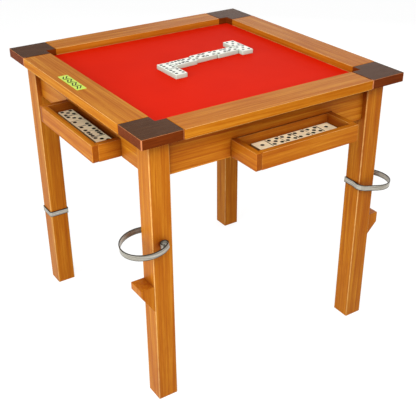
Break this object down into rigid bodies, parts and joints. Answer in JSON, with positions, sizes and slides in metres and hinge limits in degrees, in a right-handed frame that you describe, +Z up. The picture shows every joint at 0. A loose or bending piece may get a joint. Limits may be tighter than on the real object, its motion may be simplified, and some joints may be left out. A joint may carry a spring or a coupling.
{
  "type": "domino table",
  "caption": "Square wooden domino table with a sunk red playing surface, dark corner blocks, a drawer of tiles for each player and spring steel glass clips on the legs.",
  "frame": {"origin": "on the floor, under the middle of the table's overall box", "axes": "+Z up, +X to the right and -Y towards the front side, the wide side on the right of the picture"},
  "size_m": [0.8276, 0.864, 0.7506],
  "materials": {
    "orange_wood": "satin varnish",
    "dark_wood": "satin varnish",
    "pale_wood": "plain",
    "red_sheet": "matt",
    "yellow_plate": "satin",
    "white_tile": "polished",
    "cream_tile": "polished",
    "spring_steel": "satin",
    "zinc_screw": "satin"
  },
  "bodies": {
    "table": {"rail_front": "orange_wood", "rail_right": "orange_wood", "rail_back": "orange_wood", "rail_left": "orange_wood", "corner_block_front_left": "dark_wood", "leg_front_left": "orange_wood", "corner_block_front_right": "dark_wood", "leg_front_right": "orange_wood", "corner_block_back_right": "dark_wood", "leg_back_right": "orange_wood", "corner_block_back_left": "dark_wood", "leg_back_left": "orange_wood", "frame_dowels": "pale_wood", "leg_top_dowels": "pale_wood", "playing_board": "pale_wood", "red_playing_sheet": "red_sheet", "name_plate": "yellow_plate", "apron_front": "orange_wood", "drawer_guides_front": "pale_wood", "apron_right": "orange_wood", "drawer_guides_right": "pale_wood", "apron_back": "orange_wood", "drawer_guides_back": "pale_wood", "apron_left": "orange_wood", "drawer_guides_left": "pale_wood", "corner_braces": "pale_wood", "brace_screws": "zinc_screw", "board_bearers_across": "pale_wood", "board_bearers_along": "pale_wood", "played_tiles": "white_tile", "glass_bracket_front_left": "orange_wood", "glass_bracket_front_right": "orange_wood", "glass_bracket_back_right": "orange_wood", "bracket_dowels": "pale_wood"},
    "front_drawer": {"front_drawer_face": "orange_wood", "front_drawer_sides": "orange_wood", "front_drawer_back_and_stop": "orange_wood", "front_drawer_bottom": "pale_wood", "front_drawer_tiles": "cream_tile"},
    "right_drawer": {"right_drawer_face": "orange_wood", "right_drawer_sides": "orange_wood", "right_drawer_back_and_stop": "orange_wood", "right_drawer_bottom": "pale_wood", "right_drawer_tiles": "cream_tile"},
    "back_drawer": {"back_drawer_face": "orange_wood", "back_drawer_sides": "orange_wood", "back_drawer_back_and_stop": "orange_wood", "back_drawer_bottom": "pale_wood", "back_drawer_tiles": "cream_tile"},
    "left_drawer": {"left_drawer_face": "orange_wood", "left_drawer_sides": "orange_wood", "left_drawer_back_and_stop": "orange_wood", "left_drawer_bottom": "pale_wood", "left_drawer_tiles": "cream_tile"},
    "clip_front_left": {"glass_clip_front_left": "spring_steel"},
    "clip_front_right": {"glass_clip_front_right": "spring_steel"},
    "clip_back_right": {"glass_clip_back_right": "spring_steel"},
    "band_back_left": {"leg_band_back_left": "spring_steel"}
  },
  "joints": [
    {"name": "front_drawer_slide", "type": "slide", "parent": "table", "child": "front_drawer", "axis": [0, -1, 0], "range_m": [-0.1, 0]},
    {"name": "right_drawer_slide", "type": "slide", "parent": "table", "child": "right_drawer", "axis": [1, 0, 0], "range_m": [-0.074, 0.026]},
    {"name": "back_drawer_slide", "type": "slide", "parent": "table", "child": "back_drawer", "axis": [0, 1, 0], "range_m": [-0.1, 0]},
    {"name": "left_drawer_slide", "type": "slide", "parent": "table", "child": "left_drawer", "axis": [-1, 0, 0], "range_m": [-0.074, 0.026]},
    {"name": "clip_front_left_slide", "type": "slide", "parent": "table", "child": "clip_front_left", "axis": [0, 0, 1], "range_m": [-0.085, 0.137]},
    {"name": "clip_front_right_slide", "type": "slide", "parent": "table", "child": "clip_front_right", "axis": [0, 0, 1], "range_m": [-0.074, 0.169]},
    {"name": "clip_back_right_slide", "type": "slide", "parent": "table", "child": "clip_back_right", "axis": [0, 0, 1], "range_m": [-0.1, 0.143]},
    {"name": "band_back_left_slide", "type": "slide", "parent": "table", "child": "band_back_left", "axis": [0, 0, 1], "range_m": [-0.218, 0.358]}
  ]
}
